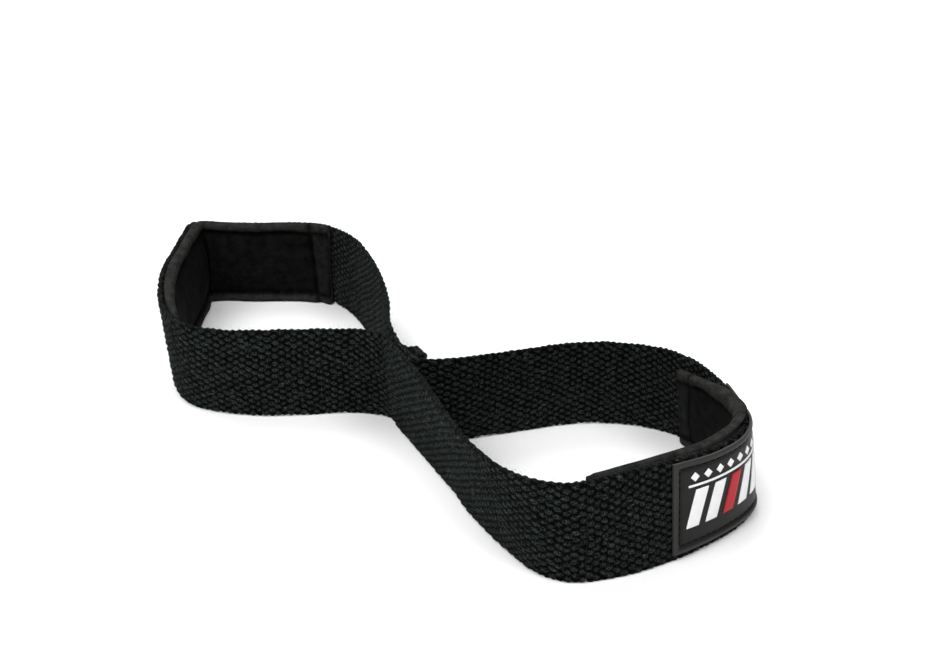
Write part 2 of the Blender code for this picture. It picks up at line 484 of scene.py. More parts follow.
def set_ramp(node: Node, stops: list[tuple[float, tuple[float, float, float, float]]]) -> None:
    """Sets a ramp's colours.

    Args:
        node: a Color Ramp node.
        stops: places from 0 to 1 and their colours, two or more.
    """
    ramp = node.color_ramp
    while len(ramp.elements) < len(stops):
        ramp.elements.new(1.0)
    for element, (place, colour) in zip(ramp.elements, stops):
        element.position = place
        element.color = colour


@dataclass(frozen=True)
class CottonWebbing:
    """Coarse woven cotton, dyed black: matt hairy yarns, painted shade in the gaps between them, crests
    lighter from wear and a painted highlight, pale lint.
    """

    # painted shade: the gaps between the yarns are drawn near black for the shade that falls in them
    gap: str = "#010101"
    yarn: str = "#121615"
    # the crests' colour: partly wear, partly a painted highlight on the tops of the yarns
    wear_and_highlight: str = "#292e2c"
    lint: str = "#3f4240"
    fibre: float = 0.0006          # tufts of fibre on the yarns, drawn coarser so that they show
    hair: float = 0.0004           # single hairs, also coarser
    lint_spacing: float = 0.008

    def material(self) -> Material:
        """Colours come from the woven relief, as painted shade in the gaps and wear with a painted highlight
        on the crests; the rest from the webbing's own length and width.

        Returns:
            The finished material.
        """
        material, shader = new_material("woven_black_cotton")
        relief = add_node(material, "ShaderNodeAttribute", {"attribute_name": "relief"}).outputs["Fac"]
        tone = add_node(material, "ShaderNodeAttribute", {"attribute_name": "tone"}).outputs["Fac"]
        place = add_node(material, "ShaderNodeUVMap", {"uv_map": "weave"}).outputs["UV"]
        # painted shade: the relief ramp darkens the weave to near black in the gaps
        depth = add_node(material, "ShaderNodeValToRGB", sockets={"Fac": relief})
        set_ramp(depth, [(0.12, linear(self.gap)), (0.6, linear(self.yarn)), (1.0, linear(self.yarn))])
        # wear and painted highlight: the crests are mixed towards the lighter crest colour
        crest = add_node(material, "ShaderNodeMath", {"operation": "MULTIPLY"}, {0: tone, 1: relief})
        crest_wear_and_highlight = add_node(material, "ShaderNodeMix", {"data_type": "RGBA"},
                           {0: crest.outputs[0], 6: depth.outputs["Color"], 7: linear(self.wear_and_highlight)})
        tufts = add_node(material, "ShaderNodeTexNoise", {"noise_dimensions": "2D"},
                         {"Vector": place, "Scale": 1 / self.fibre, "Detail": 6.0, "Roughness": 0.8})
        level = add_node(material, "ShaderNodeMapRange", None,
                         {"Value": tufts.outputs[0], 1: 0.45, 2: 0.56, 3: 0.02, 4: 2.4})
        mottled = add_node(material, "ShaderNodeVectorMath", {"operation": "SCALE"},
                           {0: crest_wear_and_highlight.outputs[2], 3: level.outputs[0]})
        longer = add_node(material, "ShaderNodeVectorMath", {"operation": "MULTIPLY"},
                          {0: place, 1: (0.45, 1.0, 1.0)})
        specks = add_node(material, "ShaderNodeTexVoronoi", {"voronoi_dimensions": "2D"},
                          {"Vector": longer.outputs[0], "Scale": 1 / self.lint_spacing})
        speck = add_node(material, "ShaderNodeMapRange", None,
                         {"Value": specks.outputs["Distance"], 1: 0.02, 2: 0.05, 3: 0.9, 4: 0.0})
        colour = add_node(material, "ShaderNodeMix", {"data_type": "RGBA"},
                          {0: speck.outputs[0], 6: mottled.outputs[0], 7: linear(self.lint)})
        hairs = add_node(material, "ShaderNodeTexNoise", {"noise_dimensions": "2D"},
                         {"Vector": place, "Scale": 1 / self.hair, "Detail": 3.0, "Roughness": 0.7})
        height = add_node(material, "ShaderNodeMath", {"operation": "MULTIPLY_ADD"},
                          {0: hairs.outputs[0], 1: 0.6, 2: tufts.outputs[0]})
        bump = add_node(material, "ShaderNodeBump", None,
                        {"Strength": 0.9, "Distance": 0.0004, "Height": height.outputs[0]})
        feed(material, shader, {"Base Color": colour.outputs[2], "Normal": bump.outputs[0],
                                "Roughness": 0.95, "IOR": 1.5, "Metallic": 0.0,
                                "Specular IOR Level": 0.03, "Sheen Weight": 0.02,
                                "Sheen Roughness": 0.5, "Sheen Tint": linear("#c9cdcc")})
        return material


@dataclass(frozen=True)
class JerseyFacing:
    """Brushed black polyester jersey over foam: smooth and matt, with a painted highlight that makes the rim
    greyer and painted shade in its sewn grooves.
    """

    field: str = "#0e0e0e"
    # painted highlight: the rim's greyer colour stands for the top light and sheen that the rim catches
    rim_highlight: str = "#252524"
    wale: float = 0.0009           # knitted columns, drawn slightly coarser than they are
    nap: float = 0.0006            # brushed fibres, also coarser
    cloud: float = 0.0045

    def material(self) -> Material:
        """Fine knitted columns with faint clouds, partly where the nap lies another way and partly painted
        light and shade of small wrinkles.

        Returns:
            The finished material.
        """
        material, shader = new_material("brushed_black_jersey")
        rim = add_node(material, "ShaderNodeAttribute", {"attribute_name": "rim"}).outputs["Fac"]
        place = add_node(material, "ShaderNodeUVMap", {"uv_map": "weave"}).outputs["UV"]
        # painted highlight: the rim mask mixes in the greyer rim colour
        base = add_node(material, "ShaderNodeMix", {"data_type": "RGBA"},
                        {0: rim, 6: linear(self.field), 7: linear(self.rim_highlight)})
        # the clouds are partly the nap's own tone and partly painted light and shade of small wrinkles
        clouds = add_node(material, "ShaderNodeTexNoise", {"noise_dimensions": "2D"},
                          {"Vector": place, "Scale": 1 / self.cloud, "Detail": 6.0, "Roughness": 0.75})
        level = add_node(material, "ShaderNodeMapRange", None,
                         {"Value": clouds.outputs[0], 1: 0.3, 2: 0.7, 3: 0.45, 4: 1.6})
        # painted shade: the shade attribute darkens the sewn grooves along the rim and across the ends
        sewn = add_node(material, "ShaderNodeAttribute", {"attribute_name": "shade"}).outputs["Fac"]
        cloud_and_groove_shade = add_node(material, "ShaderNodeMath", {"operation": "MULTIPLY"},
                          {0: level.outputs[0], 1: sewn})
        colour = add_node(material, "ShaderNodeVectorMath", {"operation": "SCALE"},
                          {0: base.outputs[2], 3: cloud_and_groove_shade.outputs[0]})
        knit = add_node(material, "ShaderNodeTexWave", {"bands_direction": "Y"},
                        {"Vector": place, "Scale": BAND / self.wale, "Distortion": 1.5, "Detail": 2.0})
        nap = add_node(material, "ShaderNodeTexNoise", {"noise_dimensions": "2D"},
                       {"Vector": place, "Scale": 1 / self.nap, "Detail": 3.0})
        height = add_node(material, "ShaderNodeMath", {"operation": "MULTIPLY_ADD"},
                          {0: knit.outputs["Fac"], 1: 0.5, 2: nap.outputs[0]})
        bump = add_node(material, "ShaderNodeBump", None,
                        {"Strength": 0.6, "Distance": 0.00016, "Height": height.outputs[0]})
        feed(material, shader, {"Base Color": colour.outputs[0], "Normal": bump.outputs[0],
                                "Roughness": 0.9, "IOR": 1.5, "Metallic": 0.0,
                                "Specular IOR Level": 0.015, "Sheen Weight": 0.01,
                                "Sheen Roughness": 0.4, "Sheen Tint": linear("#c4c4c8")})
        return material


@dataclass(frozen=True)
class MouldedRubber:
    """Soft moulded PVC rubber: satin, with the fine grain of the mould."""

    name: str
    colour: str
    # the rim's colour: wear and a painted highlight on the raised rim
    wear_and_highlight: str
    roughness: float = 0.5
    grain: float = 0.0005
    smudge: float = 0.006          # size of the patches that handling has polished

    def material(self) -> Material:
        """Slightly uneven gloss from handling, and a fine moulded grain.

        Returns:
            The finished material.
        """
        material, shader = new_material(self.name)
        place = add_node(material, "ShaderNodeTexCoord").outputs["Object"]
        smudge = add_node(material, "ShaderNodeTexNoise", None,
                          {"Vector": place, "Scale": 1 / self.smudge, "Detail": 4.0, "Roughness": 0.6})
        gloss = add_node(material, "ShaderNodeMapRange", None,
                         {"Value": smudge.outputs[0], 3: self.roughness - 0.08, 4: self.roughness + 0.12})
        level = add_node(material, "ShaderNodeMapRange", None, {"Value": smudge.outputs[0], 3: 0.88, 4: 1.1})
        # wear and painted highlight: the rim mask mixes the patch's raised rim towards a lighter colour
        rim = add_node(material, "ShaderNodeAttribute", {"attribute_name": "rim"}).outputs["Fac"]
        base = add_node(material, "ShaderNodeMix", {"data_type": "RGBA"},
                        {0: rim, 6: linear(self.colour), 7: linear(self.wear_and_highlight)})
        colour = add_node(material, "ShaderNodeVectorMath", {"operation": "SCALE"},
                          {0: base.outputs[2], 3: level.outputs[0]})
        grain = add_node(material, "ShaderNodeTexNoise", None,
                         {"Vector": place, "Scale": 1 / self.grain, "Detail": 2.0})
        bump = add_node(material, "ShaderNodeBump", None,
                        {"Strength": 0.2, "Distance": 0.00005, "Height": grain.outputs[0]})
        feed(material, shader, {"Base Color": colour.outputs[0], "Roughness": gloss.outputs[0],
                                "Normal": bump.outputs[0], "IOR": 1.52, "Specular IOR Level": 0.15,
                                "Metallic": 0.0})
        return material


@dataclass(frozen=True)
class SewingThread:
    """Bonded polyester thread: two twisted plies with a slight shine."""

    colour: str = "#0e0e0f"
    twist: float = 0.0004

    def material(self) -> Material:
        """Diagonal bands stand for the twisted plies.

        Returns:
            The finished material.
        """
        material, shader = new_material("black_polyester_thread")
        place = add_node(material, "ShaderNodeTexCoord").outputs["Object"]
        plies = add_node(material, "ShaderNodeTexWave", {"bands_direction": "DIAGONAL"},
                         {"Vector": place, "Scale": BAND / self.twist})
        bump = add_node(material, "ShaderNodeBump", None,
                        {"Strength": 0.4, "Distance": 0.00005, "Height": plies.outputs["Fac"]})
        feed(material, shader, {"Base Color": linear(self.colour), "Normal": bump.outputs[0],
                                "Roughness": 0.75, "Specular IOR Level": 0.12, "Metallic": 0.0})
        return material


@dataclass(frozen=True)
class PaperFloor:
    """Matt white studio paper, which looks the same all over."""

    colour: str = "#f1f1f1"

    def material(self) -> Material:
        """Nearly even, with the faint mottling of paper.

        Returns:
            The finished material.
        """
        material, shader = new_material("white_studio_paper")
        place = add_node(material, "ShaderNodeTexCoord").outputs["Object"]
        mottle = add_node(material, "ShaderNodeTexNoise", None, {"Vector": place, "Scale": 30.0})
        level = add_node(material, "ShaderNodeMapRange", None, {"Value": mottle.outputs[0], 3: 0.99, 4: 1.0})
        colour = add_node(material, "ShaderNodeVectorMath", {"operation": "SCALE"},
                          {0: linear(self.colour)[:3], 3: level.outputs[0]})
        feed(material, shader, {"Base Color": colour.outputs[0], "Roughness": 1.0,
                                "Specular IOR Level": 0.0})
        return material


# Webbing

class Face(Enum):
    """The webbing's two faces. The value is how far the weave is shifted, in repeats."""

    OUTER = 0.0
    INNER = 0.5


@dataclass(frozen=True)
class Weave:
    """Fat yarns that surface in staggered bumps, on both faces."""

    rows: int = 26
    repeat: float = 0.005          # from bump to bump along a yarn
    half_length: float = 0.00146
    half_height: float = 0.00103
    crest: float = 0.00022         # above the webbing's face
    depth: float = 0.00076         # from a crest to the gaps
    edge: float = 0.0010           # height of the rounded selvedge
    jitter: float = 0.00024        # how far a bump may lie from its place
    spread: float = 0.12           # how much bumps differ in size
    slant: float = 0.22            # how steeply a bump may slope along its yarn
    dice_columns: int = 211        # bumps along the webbing before their chances repeat

    def pitch(self) -> float:
        """Height from one yarn to the next."""
        return (WEBBING_WIDTH - 2 * self.edge) / (self.rows - 1 / 3)

    def bumps(self, along: Array, height: Array, face: Face) -> tuple[Array, Array]:
        """How the yarns stand up at some places.

        Args:
            along: lengths along the webbing.
            height: heights over the floor.
            face: which face.

        Returns:
            The relief from 0 in a gap to about 1 on a crest, and each yarn's own tone from 0 to 1.
        """
        dice = np.random.default_rng(11 if face is Face.OUTER else 12)
        table = dice.uniform(-1, 1, (self.rows, self.dice_columns, 4))
        along = along + 0.0006 * wander(along, height, 0.03, 3)
        height = height + 0.00022 * wander(along, height, 0.022, 4)
        base = np.floor((height - self.edge) / self.pitch() + 1 / 6).astype(int)
        relief = np.clip(0.03 + 0.20 * wander(along, height, 0.0017, 9 + int(2 * face.value)), 0, 0.5)
        tone = np.full_like(along, 0.3)
        for step in (-1, 0, 1):
            row = base + step
            inside = (row >= 0) & (row < self.rows)
            row = np.clip(row, 0, self.rows - 1)
            phase = (row % 2) * 0.5 + face.value
            number = np.rint(along / self.repeat - phase).astype(int)
            own = table[row, number % self.dice_columns]
            middle = (number + phase) * self.repeat + own[..., 0] * self.jitter
            level = self.edge + self.pitch() * (row + 1 / 3) + own[..., 1] * self.jitter * 0.5
            level = level + self.slant * own[..., 3] * (along - middle)
            grow = 1 + self.spread * own[..., 2]
            far = (((along - middle) / (self.half_length * grow)) ** 2
                   + ((height - level) / (self.half_height * grow)) ** 2)
            dome = np.where(inside, np.clip(1 - far, 0, None) ** 0.7 * (0.95 + 0.1 * own[..., 2]), 0.0)
            higher = dome > relief
            relief = np.where(higher, dome, relief)
            tone = np.where(higher, 0.66 + 0.2 * own[..., 3], tone)
        return relief, tone


@dataclass(frozen=True)
class Webbing:
    """The woven strap, modelled yarn by yarn in three lengths that meet under the pads' stitching."""

    strand: Strand
    weave: Weave = Weave()
    station: float = 0.00054       # about nine along a repeat
    selvedge_steps: int = 7
    end_round: float = 0.0018
    end_swell_run: float = 0.0135  # length of the frayed end behind the seam that stands thicker
    end_swell: float = 0.0016
    end_rise: float = 0.0010
    cuts: tuple[float, float] = (RIGHT_PAD[1], LEFT_PAD[0])
    creases: tuple[float, ...] = (*RIGHT_PAD, *LEFT_PAD)    # where stitches pull the webbing in
    crease_depth: float = 0.00018
    crease_width: float = 0.0009

    def section(self) -> tuple[Array, ...]:
        """The cross-section, from the outer face's foot up, over and back.

        Returns:
            How far out and how high each place is, which way relief moves it, and its walked length.
        """
        steps = 3 * self.weave.rows
        heights = self.weave.edge + self.weave.pitch() / 3 * np.arange(steps)
        turns = pi * np.arange(1, self.selvedge_steps) / self.selvedge_steps
        rise = WEBBING_WIDTH - heights[-1]
        out = np.concatenate([np.full(steps, WEBBING_HALF), WEBBING_HALF * np.cos(turns),
                              np.full(steps, -WEBBING_HALF), -WEBBING_HALF * np.cos(turns)])
        height = np.concatenate([heights, heights[-1] + rise * np.sin(turns), heights[::-1],
                                 rise - rise * np.sin(turns)])
        push = np.concatenate([np.ones(steps), np.cos(turns), -np.ones(steps), -np.cos(turns)])
        lift = np.concatenate([np.zeros(steps), np.sin(turns), np.zeros(steps), -np.sin(turns)])
        walked = np.concatenate([[0.0], np.cumsum(np.hypot(np.diff(out), np.diff(height)))])
        return out, height, push, lift, walked

    def flat(self, lengths: Array) -> FlatPlaces:
        """Prepares the places of a sleeve.

        Args:
            lengths: where the sleeve's columns are, along the webbing.

        Returns:
            A function of column and row numbers, as sleeve takes it.
        """
        out, height, push, lift, walked = self.section()
        count = len(out)
        whole = walked[-1] + (walked[1] - walked[0])

        def place(column: Array, row: Array) -> tuple[Array, Array, dict]:
            """Places grid corners.

            Args:
                column: the corners' column numbers.
                row: the corners' row numbers.

            Returns:
                Their flat places, UV places and attributes.
            """
            along, around = lengths[column], row % count
            high = height[around]
            outer, tone_outer = self.weave.bumps(along, high, Face.OUTER)
            inner, tone_inner = self.weave.bumps(along, high, Face.INNER)
            weight = (push[around] + 1) / 2
            relief = outer * weight + inner * (1 - weight)
            tone = tone_outer * weight + tone_inner * (1 - weight)
            at_edge = np.abs(lift[around])
            loops = 0.45 + 0.35 * np.cos(2 * pi * along / (self.weave.repeat / 2) + 2.5 * push[around])
            loops += 0.25 * wander(along, high, 0.004, 8)
            relief = relief * (1 - at_edge) + loops * at_edge
            raised = self.weave.crest - self.weave.depth * (1 - np.clip(relief, 0, 1.1))
            raised += 0.00007 * wander(along, high, 0.02, 5) + 0.00006 * wander(along, high, 0.0016, 6)
            for crease in self.creases:
                raised -= self.crease_depth * bump_at(along - crease, self.crease_width)
            full = rounded(np.clip((self.strand.whole - along) / self.end_round, 0, 1))
            swollen = ease(np.clip((along - self.strand.whole + self.end_swell_run) / 0.005, 0, 1))
            swollen *= 1 + 0.15 * wander(along, high, 0.006, 7)
            sideways = (out[around] + push[around] * raised) * full
            sideways += swollen * full * self.end_swell * np.clip(push[around], 0, 1)
            upwards = swollen * self.end_rise * np.clip((high - 0.012) / 0.026, 0, 1)
            flat = np.column_stack([along, sideways, high + lift[around] * raised + upwards])
            uv = np.column_stack([along, np.where(row == count, whole, walked[around])])
            # relief also sets the painted shade in the gaps and the painted highlight on the crests
            return flat, uv, {"relief": relief, "tone": tone}
        return place

    def build(self, finish: Material) -> None:
        """Builds the right loop, the crossing and the left loop.

        Args:
            finish: the webbing's material.
        """
        ends = (0.0, *self.cuts, self.strand.whole)
        names = ("webbing_right_loop", "webbing_crossing", "webbing_left_loop")
        for name, start, end in zip(names, ends, ends[1:]):
            lengths = np.linspace(start, end, ceil((end - start) / self.station) + 1)
            data = sleeve(name, len(lengths) - 1, len(self.section()[0]), self.flat(lengths))
            self.strand.bend_mesh(data)
            attach(object_of(name, data, finish), "webbing_strap")


@dataclass(frozen=True)
class Fuzz:
    """Loose fibres of the cotton: short hairs on the faces and the top edge, threads at the cut end."""

    strand: Strand
    hairs: int = 7000
    threads: int = 150
    batch: int = 100               # fibres made at a time, because a large bmesh is slow to add to
    hair_length: tuple[float, float] = (0.0004, 0.0011)
    thread_length: tuple[float, float] = (0.0010, 0.0030)
    radius: float = 0.000035       # thicker than a cotton fibre, so that it shows

    def spike(self, shape: BMesh, root: tuple[float, float, float],
              way: tuple[float, float, float], length: float, radius: float) -> None:
        """Adds one fibre, in flat space.

        Args:
            shape: the mesh that it is added to.
            root: where it leaves the cloth.
            way: the direction that it takes.
            length: how long it is.
            radius: half its thickness at the root.
        """
        ahead = Vector(way).normalized()
        matrix = (Matrix.Translation(Vector(root) + ahead * length / 2)
                  @ ahead.to_track_quat("Z", "Y").to_matrix().to_4x4())
        bmesh.ops.create_cone(shape, segments=3, radius1=radius, radius2=radius * 0.3, depth=length,
                              matrix=matrix)

    def scatter(self, dice: np.random.Generator) -> list[tuple]:
        """Strews the fibres.

        Args:
            dice: the source of chance.

        Returns:
            Root, direction, length and radius of every fibre.
        """
        fibres = []
        for _ in range(self.hairs):
            along, height = dice.uniform(0, self.strand.whole), dice.uniform(0.001, 0.037)
            kind, length = dice.random(), dice.uniform(*self.hair_length)
            a, b, c = dice.normal(0, 0.6, 3)
            side = 1 if kind < 0.6 else -1
            covered = (PATCH,) if side > 0 else (RIGHT_PAD, LEFT_PAD)
            if kind < 0.2:
                root, way = (along, 1.6 * b * WEBBING_HALF, WEBBING_WIDTH - 0.0001), (a, b, 1)
            elif any(start < along < end for start, end in covered):
                continue
            else:
                root, way = (along, side * (WEBBING_HALF - 0.0001), height), (a, side, c)
            fibres.append((root, way, length, self.radius))
        for _ in range(self.threads):
            root = (self.strand.whole - dice.uniform(0.0, 0.002), dice.uniform(-0.5, 2.2) * WEBBING_HALF,
                    dice.uniform(0.004, 0.0375))
            way = (1.0, dice.normal(0.3, 0.6), dice.normal(0.1, 0.6))
            fibres.append((root, way, dice.uniform(*self.thread_length), 5 * self.radius))
        return fibres

    def build(self, finish: Material) -> None:
        """Builds all fibres as one piece.

        Args:
            finish: the webbing's material.
        """
        fibres = self.scatter(np.random.default_rng(41))
        data = bpy.data.meshes.new("webbing_fuzz")
        for start in range(0, len(fibres), self.batch):
            shape = bmesh.new()
            for root, way, length, radius in fibres[start:start + self.batch]:
                self.spike(shape, root, way, length, radius)
            bmesh.ops.recalc_face_normals(shape, faces=shape.faces)
            shape.from_mesh(data)
            shape.to_mesh(data)
            shape.free()
        self.strand.bend_mesh(data)
        # the fibres take the crests' lighter colour, which is wear and a painted highlight
        for key in ("relief", "tone"):
            set_attribute(data, key, np.ones(len(data.vertices)))
        attach(object_of("webbing_fuzz", data, finish), "webbing_strap")


# Wrist pads

@dataclass(frozen=True)
class PadEnd:
    """One end of a wrist pad. Its strip is flat and sewn down."""

    strip: float = 0.0092          # length of the strip at mid height
    skew: float = 0.0              # how much longer the strip is at the top than at mid height
    drop: float = 0.0              # how much lower the pad's top is at this end
    thinned: float = 1.0           # the share of the full thickness at this end
    run: float = 0.04              # length over which drop and thinning fade


@dataclass(frozen=True)
class Pinch:
    """A place where the loop turns so sharply that the pad is squeezed out over the webbing's edge."""

    at: float                      # length along the webbing
    run: float = 0.016             # length over which it fades
    thinned: float = 0.6           # the share of the full thickness that is left
    lip: float = 0.0044            # how far the rim comes out over the webbing
    lift: float = 0.0013           # how much higher the rim stands


@dataclass(frozen=True)
class WristPad:
    """A foam pad in a jersey sleeve, with a rim that rolls round and flat ends that are sewn down."""

    name: str
    strand: Strand
    start: float
    end: float
    first: PadEnd
    last: PadEnd
    creases: tuple[float, ...]     # where the pad is folded, as lengths along the webbing
    pinches: tuple[Pinch, ...] = ()
    width: float = 0.0392
    thickness: float = 0.0045
    rim: float = 0.0045
    groove_depth: float = 0.0019
    field_drop: float = 0.0007
    strip_thickness: float = 0.0032
    end_round: float = 0.0014
    edge: float = 0.0016           # height over which the rim rolls round
    sewn_width: float = 0.0012     # of the groove, and of the change from rim to field
    fold_depth: float = 0.0013     # where a corner of the loop presses into the foam
    pucker: float = 0.0001
    pucker_pitch: float = 0.0064
    cell: float = 0.001
    back_rows: int = 9
    edge_rows: int = 8
    puff_scale: float = 10.0       # the solver is made for cushions, so the pad is puffed at this scale
    puff_limit: float = 0.0011

    def lengths(self) -> Array:
        """Where the sleeve's columns are: closer at the ends.

        Returns:
            Lengths along the webbing.
        """
        near = np.array([0.0, 0.0002, 0.0006, 0.0012, 0.002, 0.003])
        inner = np.linspace(self.start + 0.004, self.end - 0.004,
                            ceil((self.end - self.start - 0.008) / self.cell) + 1)
        return np.concatenate([self.start + near, inner, self.end - near[::-1]])

    def section(self) -> tuple[Array, Array]:
        """The way round the pad.

        Returns:
            For each place its share of the thickness and its height.
        """
        front_rows = round((self.width - 2 * self.edge) / self.cell)
        rise = np.linspace(self.edge, self.width - self.edge, front_rows + 1)
        back = np.linspace(self.edge, self.width - self.edge, self.back_rows + 1)
        turns = pi * np.arange(1, self.edge_rows) / self.edge_rows
        share = np.concatenate([np.zeros(len(back)), 0.5 - 0.5 * np.cos(turns),
                                np.ones(len(rise)), 0.5 + 0.5 * np.cos(turns)])
        height = np.concatenate([back, self.width - self.edge + self.edge * np.sin(turns),
                                 rise[::-1], self.edge - self.edge * np.sin(turns)])
        return share, height

    def fade(self, along: Array) -> tuple[Array, Array]:
        """How near each place is to the ends.

        Args:
            along: lengths along the webbing.

        Returns:
            For the first and the last end, 1 there and 0 past the run.
        """
        return (ease(np.clip(1 - (along - self.start) / self.first.run, 0, 1)),
                ease(np.clip(1 - (self.end - along) / self.last.run, 0, 1)))

    def top(self, along: Array) -> Array:
        """The height of the pad's top."""
        first, last = self.fade(along)
        return self.width - self.first.drop * first - self.last.drop * last

    def to_rim(self, along: Array, height: Array) -> Array:
        """How far places are from the rim's sewn line.

        Args:
            along: lengths along the webbing.
            height: heights over the floor.

        Returns:
            The distance inwards from that line, which wavers a little.
        """
        top = self.top(along)
        from_edge = np.minimum(height, top - height)
        wavers = 0.0004 * wander(along, np.sign(height - top / 2), 0.016, 22)
        return from_edge - self.rim - wavers

    def to_strip(self, along: Array, height: Array) -> Array:
        """How far places are from the sewn lines across the ends.

        Args:
            along: lengths along the webbing.
            height: heights over the floor.

        Returns:
            The distance inwards from the nearer one.
        """
        level = 2 * height / self.width - 1
        return np.minimum(along - self.start - self.first.strip - self.first.skew * level,
                          self.end - along - self.last.strip - self.last.skew * level)

    def front(self, along: Array, height: Array) -> Array:
        """The shape of the pad's inner face.

        Args:
            along: lengths along the webbing.
            height: heights over the floor.

        Returns:
            The pad's thickness at each place on its inner face.
        """
        rim, strip = self.to_rim(along, height), self.to_strip(along, height)
        roll = np.sqrt(np.clip(1 - (np.clip(rim, -self.rim, 0) / self.rim + 0.5) ** 2 * 4, 0, 1))
        body = np.where(rim < 0,
                        self.thickness - self.groove_depth * (1 - roll) * (rim > -self.rim / 2),
                        self.thickness - self.field_drop
                        - (self.groove_depth - self.field_drop) * bump_at(rim, self.sewn_width))
        flap = self.strip_thickness - 0.0008 * bump_at(strip, 0.0011)
        inside = np.clip(strip / 0.0022, 0, 1)
        body = flap + (body - flap) * inside * (2 - inside)
        first, last = self.fade(along)
        body = body * (1 - (1 - self.first.thinned) * first) * (1 - (1 - self.last.thinned) * last)
        for pinch in self.pinches:
            body = body * (1 - (1 - pinch.thinned) * bump_at(along - pinch.at, pinch.run))
        near_end = np.clip(np.minimum(along - self.start, self.end - along) / self.end_round, 0, 1)
        return body * (0.35 + 0.65 * rounded(near_end))

    def flat(self, lengths: Array) -> FlatPlaces:
        """Prepares the places of a sleeve.

        Args:
            lengths: where the sleeve's columns are, along the webbing.

        Returns:
            A function of column and row numbers, as sleeve takes it.
        """
        share, height = self.section()
        count = len(share)

        def place(column: Array, row: Array) -> tuple[Array, Array, dict]:
            """Places grid corners.

            Args:
                column: the corners' column numbers.
                row: the corners' row numbers.

            Returns:
                Their flat places, UV places and attributes.
            """
            along, around = lengths[column], row % count
            part = share[around]
            high = height[around] * self.top(along) / self.width
            flat = np.column_stack([along, -PIECE_BACK - part * self.front(along, high), high])
            flat += self.lipped(along, height[around], part)
            rim, strip = self.to_rim(along, high), self.to_strip(along, high)
            # painted highlight: the rim, and more faintly the sewn ends, get the greyer colour
            rim_highlight = np.maximum(np.clip(-rim / self.sewn_width, 0, 1),
                                0.35 * np.clip(-strip / self.sewn_width, 0, 1))
            # painted shade in the sewn grooves, on the pad's inner face only
            shade = 1 - 0.75 * np.maximum(bump_at(rim, 0.0011), bump_at(strip, 0.0011)) * part
            uv = np.column_stack([along, high + 0.006 * (1 - part)])
            return flat, uv, {"rim": rim_highlight, "part": part, "shade": shade}
        return place

    def lipped(self, along: Array, height: Array, part: Array) -> Array:
        """Moves the top of the rim where the pad is pinched.

        Args:
            along: lengths along the webbing.
            height: heights over the floor.
            part: each place's share of the pad's thickness.

        Returns:
            Rows to add to the flat places.
        """
        roll = np.clip((height - self.width + self.edge) / self.edge, 0, 1)
        moved = np.zeros((len(along), 3))
        for pinch in self.pinches:
            near = bump_at(along - pinch.at, pinch.run)
            moved[:, 1] += pinch.lip * near * np.clip(2 * roll - 0.6, 0, 1) * (1 - 0.6 * part)
            moved[:, 2] += pinch.lift * near * roll
        return moved

    def held(self, data: Mesh) -> Array:
        """Which vertices stay where they are while the pad is puffed.

        Args:
            data: the pad's mesh, still flat.

        Returns:
            True for the vertices of its back and its sewn lines.
        """
        along, out, high = points_of(data).T
        from_end = np.minimum(along - self.start, self.end - along)
        sewn = ((np.abs(self.to_rim(along, high)) < self.cell / 2)
                | (np.abs(self.to_strip(along, high)) < self.cell / 2))
        return sewn | (out > -PIECE_BACK - 0.0003) | (from_end < 0.0035)

    def puff(self, piece: Object) -> None:
        """Blows the jersey up between its sewn lines with the cloth solver.

        Args:
            piece: the pad, still flat. Its mesh is changed.
        """
        data = piece.data
        rest = points_of(data)
        group = piece.vertex_groups.new(name="sewn")
        group.add(np.nonzero(self.held(data))[0].tolist(), 1.0, "REPLACE")
        set_points(data, rest * self.puff_scale)
        cloth = piece.modifiers.new("puff", "CLOTH")
        for key, value in {"quality": 5, "mass": 0.3, "tension_stiffness": 12.0,
                           "compression_stiffness": 12.0, "shear_stiffness": 5.0,
                           "bending_stiffness": 0.5, "use_pressure": True,
                           "uniform_pressure_force": 4.0, "vertex_group_mass": "sewn"}.items():
            setattr(cloth.settings, key, value)
        cloth.settings.effector_weights.gravity = 0.0
        cloth.collision_settings.use_collision = False
        scene = bpy.context.scene
        for frame in range(1, 21):
            scene.frame_set(frame)
        shaped = piece.evaluated_get(bpy.context.evaluated_depsgraph_get())
        moved = points_of(shaped.data) / self.puff_scale
        piece.modifiers.remove(cloth)
        scene.frame_set(1)
        shift = moved - rest
        size = np.linalg.norm(shift, axis=1)
        size[size == 0] = 1.0
        shift *= (np.minimum(size, self.puff_limit) / size)[:, None]
        LOG.info("%s: puffed by up to %.2f mm", self.name, 1000 * np.linalg.norm(shift, axis=1).max())
        set_points(data, rest + shift)

    def settle(self, data: Mesh) -> None:
        """Adds the folds that bending gives the pad, and slight puckers along the stitching.

        Args:
            data: the pad's mesh, still flat.
        """
        flat = points_of(data)
        part = np.empty(len(flat), np.float32)
        data.attributes["part"].data.foreach_get("value", part)
        along, high = flat[:, 0], flat[:, 2]
        rim = self.to_rim(along, high)
        pucker = np.cos(2 * pi * along / self.pucker_pitch) * bump_at(rim, 0.0022)
        shift = self.pucker * pucker + 0.00018 * wander(along, high, 0.018, 21)
        inside = np.clip(rim / 0.003, 0, 1)
        for crease in self.creases:
            shift -= self.fold_depth * bump_at(along - crease, 0.0013) * inside
            shift += 0.0005 * bump_at(np.abs(along - crease) - 0.004, 0.0025) * inside
        flat[:, 1] -= shift * part
        set_points(data, flat)

    def build(self, finish: Material) -> None:
        """Builds the pad.

        Args:
            finish: the jersey's material.
        """
        lengths = self.lengths()
        data = sleeve(self.name, len(lengths) - 1, len(self.section()[0]), self.flat(lengths))
        piece = object_of(f"jersey_{self.name}", data, finish)
        self.puff(piece)
        self.settle(data)
        self.strand.bend_mesh(data)
        smooth = piece.modifiers.new("smooth", "SUBSURF")
        smooth.levels = smooth.render_levels = 1
        attach(piece, self.name)


# Patch

